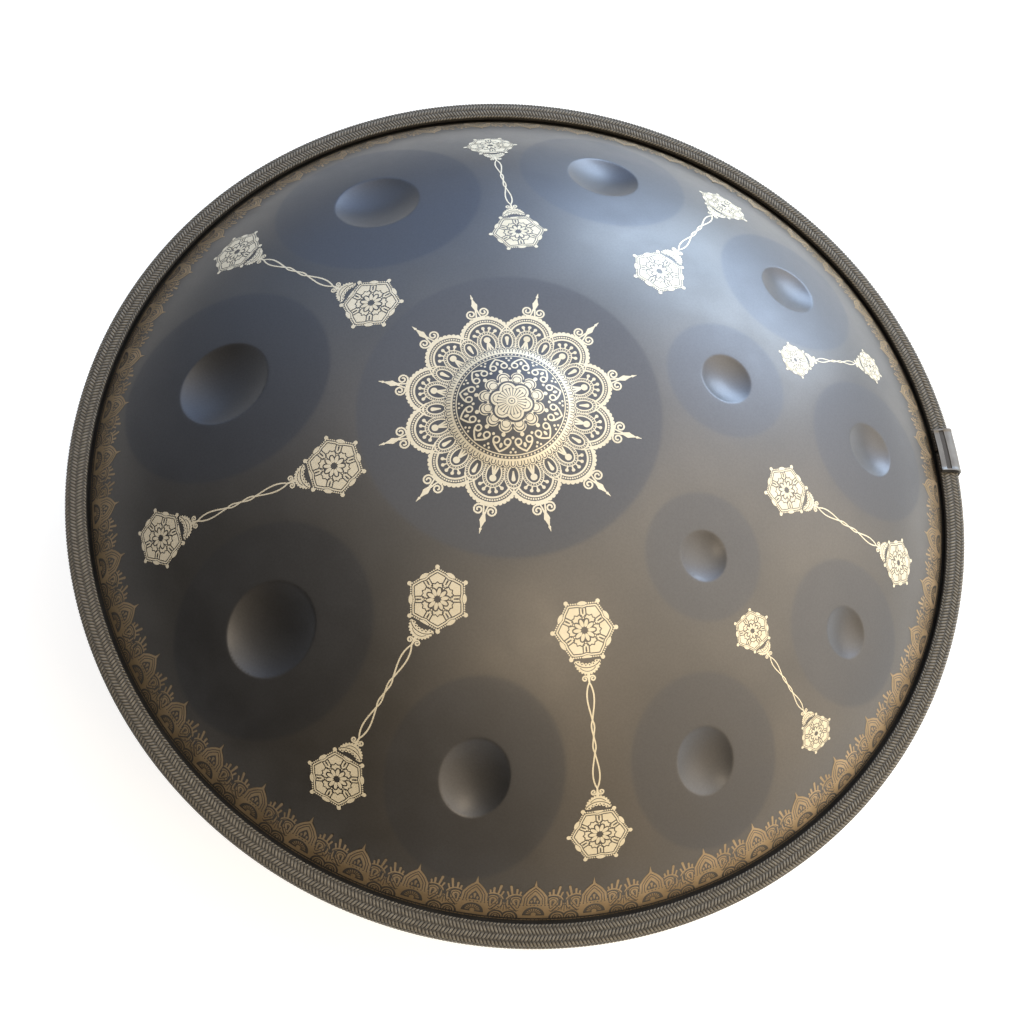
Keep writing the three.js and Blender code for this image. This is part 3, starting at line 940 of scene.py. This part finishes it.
def band_path(growth=0.0, corner_steps=10):
    """Outline of the rope band from its upper inner edge round to its lower one, moved outwards
    by the growth"""
    centre = ROPE_RADIUS - ROPE_CORNER
    upper = [(ROPE_INNER_RADIUS + 1, ROPE_HALF_HEIGHT + growth)]
    upper += arc_points((centre, ROPE_HALF_HEIGHT - ROPE_CORNER), ROPE_CORNER + growth, 90, 0,
                        corner_steps)
    return upper + [(r, -h) for r, h in reversed(upper)]


def along_path(path, shares, step=0.3):
    """Points at shares of a path's length, with the path's outward direction at each"""
    path = np.asarray(path, float)
    steps = np.hypot(*np.diff(path, axis=0).T)
    length = np.concatenate([[0], np.cumsum(steps)])
    places = np.asarray(shares) * length[-1]

    def at(places):
        return np.stack([np.interp(places, length, path[:, k]) for k in (0, 1)], axis=1)

    run = at(np.minimum(places + step, length[-1])) - at(np.maximum(places - step, 0))
    outward = np.stack([-run[:, 1], run[:, 0]], axis=1) / np.hypot(*run.T)[:, None]
    return at(places), outward


ROPE_GAP = 1.5  # between the rope's two ends, under the sleeve
BRAID_COLUMNS = 10
BRAID_PITCH = 2.1  # between strands, along the middle of the rope
BRAID_MIDDLE_RADIUS = 272
BRAID_STAGGER = 0.25  # how much later each column starts than the last one, in pitches
BRAID_LEAN = 2.3  # how far a strand runs round the rim while it crosses its column
BRAID_TUCK = 0.1  # how far it runs on under the neighbouring column, of a column's width
BRAID_HEIGHT = 0.8
BRAID_BASE = 0.75  # depth of the dark core under the strands' crowns


def rope_core(material, start, sweep):
    """The body under the strands, nearly black as painted shade in the gaps between them, with a
    slot for the shells' flanges
    """
    inner = ROPE_INNER_RADIUS + 0.6
    shoulder = ROPE_HALF_HEIGHT - 1.2
    section = band_path(-BRAID_BASE)[::-1]
    section += [(inner, shoulder), (inner, ROPE_SLOT_HALF), (ROPE_SLOT_RADIUS, ROPE_SLOT_HALF)]
    section += [(ROPE_SLOT_RADIUS, -ROPE_SLOT_HALF), (inner, -ROPE_SLOT_HALF), (inner, -shoulder)]
    points, faces = turned_mesh(section, segments=220, azimuth=start, sweep=sweep)
    make_piece("rope_core", points, faces, material, sharp=50)


def braid_column(column, path, count, start, sweep):
    """The strands of one column: their points by strand, by row along it and by place across it,
    and how near each point is to its strand's crown"""
    along = np.linspace(0, 1, 4)
    across = np.array([-0.5, -0.22, 0.22, 0.5])  # of the pitch
    arch = np.sin(math.pi * (0.06 + 0.88 * along))  # low where the strand tucks under
    crown = np.array([0, 1, 1, 0]) * arch[:, None]
    share = (column - BRAID_TUCK + (1 + 2 * BRAID_TUCK) * along) / BRAID_COLUMNS
    centre, outward = along_path(path, np.clip(share, 0, 1))
    lean = BRAID_LEAN if column % 2 else -BRAID_LEAN
    strand = np.arange(count)[:, None, None] + BRAID_STAGGER * column % 1
    slant = lean / BRAID_PITCH * (along[:, None] - 0.5)
    place = strand + slant + across
    azimuth = np.radians(start) + np.clip(place / count, 0, 1) * math.radians(sweep)
    height = BRAID_HEIGHT * (crown - 1)
    radius = centre[:, :1] + outward[:, :1] * height
    level = centre[:, 1:] + outward[:, 1:] * height
    points = np.stack([radius * np.cos(azimuth), radius * np.sin(azimuth), level + 0 * azimuth],
                      axis=3)
    return points, np.broadcast_to(crown, azimuth.shape)


def grid_faces(count, rows, columns):
    """Quads of several separate grids of points, in one list of points"""
    grid = np.arange(count)[:, None, None] * rows * columns
    row = np.arange(rows - 1)[None, :, None] * columns
    corner = grid + row + np.arange(columns - 1)
    quads = [corner + 1, corner + columns + 1, corner + columns, corner]
    return np.stack(quads, axis=3).reshape(-1, 4)


def rope_band(material, core_material):
    """A core in painted shade with a braid of leaning strands in columns that alternate their lean
    """
    gap = math.degrees(ROPE_GAP / ROPE_RADIUS)
    start, sweep = JOINT_AZIMUTH + gap / 2, 360 - gap
    rope_core(core_material, start, sweep)
    edge_radius, edge_height = ROPE_INNER_RADIUS + 0.15, ROPE_HALF_HEIGHT - 2.2
    path = [(edge_radius, edge_height), *band_path(-0.06), (edge_radius, -edge_height)]
    count = round(math.radians(sweep) * BRAID_MIDDLE_RADIUS / BRAID_PITCH)
    columns = [braid_column(column, path, count, start, sweep) for column in range(BRAID_COLUMNS)]
    points = np.stack([points for points, _ in columns])
    faces = grid_faces(BRAID_COLUMNS * count, *points.shape[2:4])
    piece = make_piece("rope_braid", points.reshape(-1, 3), faces.tolist(), material,
                       replaces=["rim_rope"])
    point_values(piece, "crown", np.stack([crown for _, crown in columns]).ravel())


SLEEVE_GROWTH = 1.9  # how far its rolled ends stand out from the rope's outline
SLEEVE_WALL = 0.9
SLEEVE_DISH = 0.22  # how far its middle lies below its rolled ends
GROOVE_RADII = (270.5, 270.8, 273.6, 273.9)
GROOVE_DEPTH = 0.5


def sleeve_section(growth, depth):
    """A channel over the rope's outline, with a groove of the given depth in its top"""
    inner = band_path(SLEEVE_GROWTH - SLEEVE_WALL)[::-1]
    outer = band_path(SLEEVE_GROWTH + growth)
    top = outer[0][1]
    groove = [(r, top - drop) for r, drop in zip(GROOVE_RADII, (0, depth, depth, 0))]
    return [outer[0], *groove, *outer[1:], *inner]


def sleeve(material):
    """A thin metal channel with rolled ends and a groove along its top"""
    # distance from the end, and growth of the outside there
    ends = [(0, -0.25), (0.15, 0), (1.3, 0), (1.7, -SLEEVE_DISH)]
    stations = ends + [(SLEEVE_LENGTH * k / 10, -SLEEVE_DISH) for k in range(1, 10)]
    stations += [(SLEEVE_LENGTH - distance, growth) for distance, growth in reversed(ends)]
    start = math.radians(JOINT_AZIMUTH) - SLEEVE_LENGTH / ROPE_RADIUS / 2
    points, groove_shade = [], []
    for distance, growth in stations:
        grooved = growth == -SLEEVE_DISH
        section = sleeve_section(growth, GROOVE_DEPTH if grooved else 0)
        azimuth = start + distance / ROPE_RADIUS
        points += [(r * math.cos(azimuth), r * math.sin(azimuth), h) for r, h in section]
        # The groove's floor is marked 1 here, for the material to darken it: painted shade in the
        # recess
        groove_shade += [1.0 if grooved and i in (2, 3) else 0.0 for i in range(len(section))]
    count = len(section)
    last = (len(stations) - 1) * count
    faces = []
    for here in range(0, last, count):
        for i in range(count):
            j = (i + 1) % count
            faces.append((here + i, here + j, here + count + j, here + count + i))
    faces += [tuple(reversed(range(count))), tuple(range(last, last + count))]
    piece = make_piece("joint_sleeve", points, faces, material, sharp=40,
                       replaces=["rope_sleeve"])
    point_values(piece, "groove_shade", groove_shade)


# ---- materials

def grey(level):
    """A colour without hue"""
    return level, level, level


class Nodes:
    """A material's or world's node tree, with short ways to add and join nodes"""

    def __init__(self, owner, shader, coordinate):
        owner.use_nodes = True
        self.owner = owner
        self.tree = owner.node_tree
        self.shader = self.tree.nodes[shader]
        self.place = self.add("ShaderNodeTexCoord").outputs[coordinate]

    def feed(self, socket, value):
        """Joins an output to a socket, or sets the socket's own value"""
        if isinstance(value, bpy.types.NodeSocket):
            self.tree.links.new(value, socket)
        else:
            socket.default_value = value

    def add(self, kind, **inputs):
        """A new node; its inputs are named with _ for a space"""
        node = self.tree.nodes.new(kind)
        for key, value in inputs.items():
            self.feed(node.inputs[key.replace("_", " ")], value)
        return node

    def set(self, **inputs):
        """Inputs of the shader itself"""
        for key, value in inputs.items():
            self.feed(self.shader.inputs[key.replace("_", " ")], value)

    def noise(self, scale, detail=4.0, roughness=0.6):
        """Random variation, with its scale in repeats to the metre"""
        node = self.add("ShaderNodeTexNoise", Vector=self.place, Scale=scale, Detail=detail,
                        Roughness=roughness)
        return node.outputs["Fac"]

    def ramp(self, factor, *stops, interpolation="LINEAR"):
        """A colour that changes from stop to stop; a stop's colour may be a single grey level"""
        node = self.add("ShaderNodeValToRGB", Fac=factor)
        node.color_ramp.interpolation = interpolation
        while len(node.color_ramp.elements) < len(stops):
            node.color_ramp.elements.new(0.5)
        for element, (position, colour) in zip(node.color_ramp.elements, stops):
            element.position = position
            element.color = (*(colour if isinstance(colour, tuple) else grey(colour)), 1)
        return node.outputs["Color"]

    def mix(self, factor, first, second, blend="MIX"):
        """Two colours, each a tuple or an output, mixed by a number or an output"""
        node = self.tree.nodes.new("ShaderNodeMix")
        node.data_type = "RGBA"
        node.blend_type = blend
        self.feed(node.inputs["Factor"], factor)
        for socket, colour in ((node.inputs[6], first), (node.inputs[7], second)):
            self.feed(socket, (*colour, 1) if isinstance(colour, tuple) else colour)
        return node.outputs[2]

    def vector_value(self, operation, *vectors):
        """The number that a vector operation gives"""
        node = self.tree.nodes.new("ShaderNodeVectorMath")
        node.operation = operation
        for socket, vector in zip(node.inputs, vectors):
            self.feed(socket, vector)
        return node.outputs["Value"]

    def attribute(self, name):
        """A number that the piece has at its points"""
        node = self.add("ShaderNodeAttribute")
        node.attribute_name = name
        return node.outputs["Fac"]

    def seen_directly(self):
        """1 where the camera looks, and 0 for light and reflections"""
        return self.add("ShaderNodeLightPath").outputs["Is Camera Ray"]

    def bump(self, height, distance, strength):
        """Fine relief on the surface, with its distance in metres"""
        node = self.add("ShaderNodeBump", Height=height, Distance=distance, Strength=strength)
        self.set(Normal=node.outputs["Normal"])


def material_nodes(name):
    """The nodes of a new material"""
    return Nodes(bpy.data.materials.new(name), "Principled BSDF", "Object")


def nitrided_steel():
    """Dark satin steel with slow shifts of tone, fine flecks and slightly darker note fields"""
    nodes = material_nodes("nitrided_steel")
    cloud = nodes.ramp(nodes.noise(7, 3), (0.3, (0.19, 0.187, 0.185)), (0.7, (0.245, 0.235, 0.225)))
    fleck = nodes.ramp(nodes.noise(900, 2), (0.35, 0.92), (0.65, 1.0))
    toned = nodes.mix(nodes.attribute("field_tone"), cloud, (0.178, 0.181, 0.192))
    nodes.set(
        Base_Color=nodes.mix(1.0, toned, fleck, "MULTIPLY"),
        Metallic=1.0,
        Roughness=nodes.ramp(nodes.noise(40, 5), (0.3, 0.34), (0.7, 0.42)),
    )
    nodes.bump(nodes.noise(1400, 2), 0.00002, 0.4)
    return nodes.owner


def gold(name, dark, light, metallic):
    """A metallic marking with a fine grain and slow shifts of colour"""
    nodes = material_nodes(name)
    nodes.set(
        Base_Color=nodes.ramp(nodes.noise(60, 4), (0.3, dark), (0.7, light)),
        Metallic=metallic,
        Roughness=nodes.ramp(nodes.noise(700, 3), (0.3, 0.42), (0.7, 0.58)),
    )
    nodes.bump(nodes.noise(1800, 2), 0.00002, 0.5)
    return nodes.owner


def braided_cord():
    """Fibres in their own colour on the strands' crowns, darkening to nearly black between the
    strands: painted shade
    """
    nodes = material_nodes("braided_cord")
    fibre = nodes.ramp(nodes.noise(320, 6, 0.7), (0.25, (0.10, 0.088, 0.074)),
                       (0.55, (0.20, 0.18, 0.155)), (0.85, (0.34, 0.31, 0.27)))
    # Darker towards each strand's edges, where it runs under its neighbours: painted shade
    strand_shade = nodes.ramp(nodes.attribute("crown"), (0.0, 0.0), (0.45, 0.35), (0.95, 1.0))
    nodes.set(
        Base_Color=nodes.mix(strand_shade, (0.016, 0.014, 0.012), fibre),
        Roughness=nodes.ramp(nodes.noise(500), (0.3, 0.6), (0.7, 0.85)),
        Sheen_Weight=0.25,
        Sheen_Roughness=0.5,
    )
    nodes.bump(nodes.noise(2600, 3), 0.00012, 0.8)
    return nodes.owner


def rope_shadow_core():
    """The inside of the rope, nearly black: painted shade in the gaps between the strands"""
    nodes = material_nodes("rope_shadow")
    nodes.set(
        Base_Color=nodes.ramp(nodes.noise(500), (0.3, (0.012, 0.011, 0.010)),
                              (0.7, (0.035, 0.032, 0.028))),
        Roughness=nodes.ramp(nodes.noise(300), (0.3, 0.8), (0.7, 0.95)),
    )
    return nodes.owner


def groove_shaded_metal():
    """The sleeve's metal, darker on the floor of its groove: painted shade"""
    nodes = material_nodes("sleeve_metal")
    unshaded = nodes.ramp(nodes.noise(90, 5), (0.3, (0.20, 0.19, 0.18)), (0.7, (0.27, 0.26, 0.245)))
    nodes.set(
        # Where the groove's floor is marked, the colour goes dark: painted shade, not dirt
        Base_Color=nodes.mix(nodes.attribute("groove_shade"), unshaded, (0.10, 0.094, 0.088)),
        Metallic=1.0,
        Roughness=nodes.ramp(nodes.noise(500, 4), (0.3, 0.36), (0.7, 0.52)),
    )
    nodes.bump(nodes.noise(1500, 2), 0.00002, 0.5)
    return nodes.owner


def dull(name, dark, light, rough):
    """Tape, rubber or cured glue"""
    nodes = material_nodes(name)
    nodes.set(
        Base_Color=nodes.ramp(nodes.noise(260, 5), (0.3, dark), (0.7, light)),
        Roughness=nodes.ramp(nodes.noise(400), (0.3, rough - 0.08), (0.7, rough + 0.08)),
    )
    nodes.bump(nodes.noise(1200, 3), 0.00006, 0.6)
    return nodes.owner


def studio_floor():
    """Pale to the camera; in reflections it falls away to grey on the left and behind"""
    nodes = material_nodes("studio_floor")
    offset = nodes.add("ShaderNodeMapping", Vector=nodes.place, Location=(-0.35, 0.05, 0))
    distance = nodes.vector_value("LENGTH", offset.outputs["Vector"])
    away = nodes.add("ShaderNodeMapRange", Value=distance, From_Min=0.5, From_Max=1.35)
    faded = nodes.mix(nodes.seen_directly(), away.outputs["Result"], grey(0.0))
    pale = nodes.ramp(nodes.noise(1.5, 3), (0.3, 0.54), (0.7, 0.57))
    nodes.set(
        Base_Color=nodes.mix(faded, pale, grey(0.15)),
        Roughness=nodes.ramp(nodes.noise(30), (0.3, 0.75), (0.7, 0.85)),
        Emission_Color=nodes.mix(faded, grey(1.0), grey(0.0)),
        Emission_Strength=0.72,
    )
    return nodes.owner


def refinish(node, material):
    """A better material on a CAD node that stays"""
    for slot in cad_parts[node].material_slots:
        slot.material = material


# ---- studio

FLOOR_RADIUS = 6
FLOOR_SIDES = 64

# The photograph's viewpoint, fitted to the rim, the centre ornament and the border
CAMERA_PLACE = (-0.0015, -0.3568, 0.9488)
CAMERA_DIP = 68.17  # how far it looks down from the horizontal, towards +Y
CAMERA_ROLL = 17.48
CAMERA_LENS = 50.6
CAMERA_SENSOR = 36


def pale_floor():
    """A wide disc under the instrument"""
    edge = ring_plan(0, 0, FLOOR_RADIUS, FLOOR_SIDES)
    points = [(0, 0, 0)] + [(x, y, 0) for x, y in edge.tolist()]
    faces = [(0, 1 + i, 1 + (i + 1) % FLOOR_SIDES) for i in range(FLOOR_SIDES)]
    mesh = bpy.data.meshes.new("studio_floor")
    mesh.from_pydata(points, [], faces)
    mesh.materials.append(studio_floor())
    add_object("studio_floor", mesh)


def softbox(name, place, size, power, colour):
    """A square or oblong lamp that faces the instrument"""
    light = bpy.data.lights.new(name, "AREA")
    light.shape = "RECTANGLE"
    light.size, light.size_y = size
    light.energy = power
    light.color = colour
    lamp = add_object(name, light)
    lamp.location = place
    aim = Vector((0, 0, 0.18)) - Vector(place)
    lamp.rotation_euler = aim.to_track_quat("-Z", "Y").to_euler()
    return lamp


def facing(air, azimuth, elevation, *stops):
    """A ramp over directions, from the one opposite the given one, 0, to the given one, 1"""
    rise = math.radians(elevation)
    toward = Vector((*plan_point(math.cos(rise), azimuth), math.sin(rise)))
    agreement = air.vector_value("DOT_PRODUCT", air.place, toward)
    place = air.add("ShaderNodeMapRange", Value=agreement, From_Min=-1)
    return air.ramp(place.outputs["Result"], *stops, interpolation="EASE")


def studio_air():
    """Soft light all round: brightest and coolest low behind on the right, warm in front on the
    right, dim on the left. The camera itself sees a plain pale backdrop."""
    world = bpy.data.worlds.new("studio_air")
    air = Nodes(world, "Background", "Generated")
    level = facing(air, 45, 15, (0.0, 0.02), (0.33, 0.12), (0.42, 0.28), (0.5, 0.33), (0.65, 0.44),
                   (0.85, 0.75), (1.0, 0.9))
    tint = facing(air, 110, 0, (0.0, (1.0, 0.80, 0.56)), (0.5, (0.95, 0.86, 0.73)),
                  (0.78, (0.80, 0.84, 0.93)), (0.9, (0.64, 0.77, 1.0)), (1.0, (0.54, 0.69, 1.0)))
    light = air.mix(1.0, level, tint, "MULTIPLY")
    air.set(Color=air.mix(air.seen_directly(), light, grey(0.45)), Strength=2.0)
    bpy.context.scene.world = world


def lights():
    """A cool window behind, a warm lamp in front, and two fills for the gold's own colour"""
    softbox("window_panel", (0.75, 2.3, 0.75), (2.0, 1.3), 26, (0.64, 0.81, 1.0))
    softbox("warm_panel", (0.6, -1.1, 2.4), (0.8, 0.8), 3.5, (1.0, 0.80, 0.55))
    fills = [
        softbox("cool_fill", (0.6, 1.65, 1.5), (1.3, 1.3), 27, (0.60, 0.80, 1.0)),
        softbox("warm_fill", (1.55, -0.55, 1.65), (1.3, 1.3), 24, (1.0, 0.82, 0.45)),
    ]
    for fill in fills:
        fill.visible_glossy = False  # they would cover the shell in a milky reflection


def camera():
    """Looks down and towards +Y, and rolls about its own line of sight"""
    dip, roll = math.radians(CAMERA_DIP), math.radians(CAMERA_ROLL)
    forward = Vector((0, math.cos(dip), -math.sin(dip)))
    down = Vector((0, -math.sin(dip), -math.cos(dip)))
    right = Vector((1, 0, 0))
    image_right = math.cos(roll) * right - math.sin(roll) * down
    image_down = math.sin(roll) * right + math.cos(roll) * down
    turn = Matrix((image_right, -image_down, -forward)).transposed().to_4x4()
    lens = bpy.data.cameras.new("camera")
    lens.lens = CAMERA_LENS
    lens.sensor_width = CAMERA_SENSOR
    lens.clip_end = 50
    eye = add_object("camera", lens)
    eye.matrix_world = Matrix.Translation(CAMERA_PLACE) @ turn
    bpy.context.scene.camera = eye


# ---- the scene

steel = nitrided_steel()
upper_shell(steel)
lower_shell(steel)
pale_gold = gold("pale_gold", (0.80, 0.72, 0.56), (0.92, 0.84, 0.68), 0.4)
mandala(pale_gold)
pairs(pale_gold)
# The border's gold is the same marking as the rest, given a darker colour: painted shade
lace_border(gold("lace_shaded_gold", (0.50, 0.38, 0.24), (0.68, 0.53, 0.35), 1.0))
rope_band(braided_cord(), rope_shadow_core())
sleeve(groove_shaded_metal())
tape = dull("binding_tape", (0.010, 0.009, 0.008), (0.03, 0.028, 0.025), 0.7)
for node in ("rope_binding_lower", "rope_binding_upper"):
    refinish(node, tape)
refinish("edge_trim", dull("trim_rubber", (0.012, 0.012, 0.012), (0.03, 0.03, 0.03), 0.8))
refinish("seam_bond", dull("cured_epoxy", (0.02, 0.018, 0.016), (0.05, 0.045, 0.04), 0.55))
pale_floor()
lights()
studio_air()
camera()
bpy.context.scene.view_settings.view_transform = "Standard"
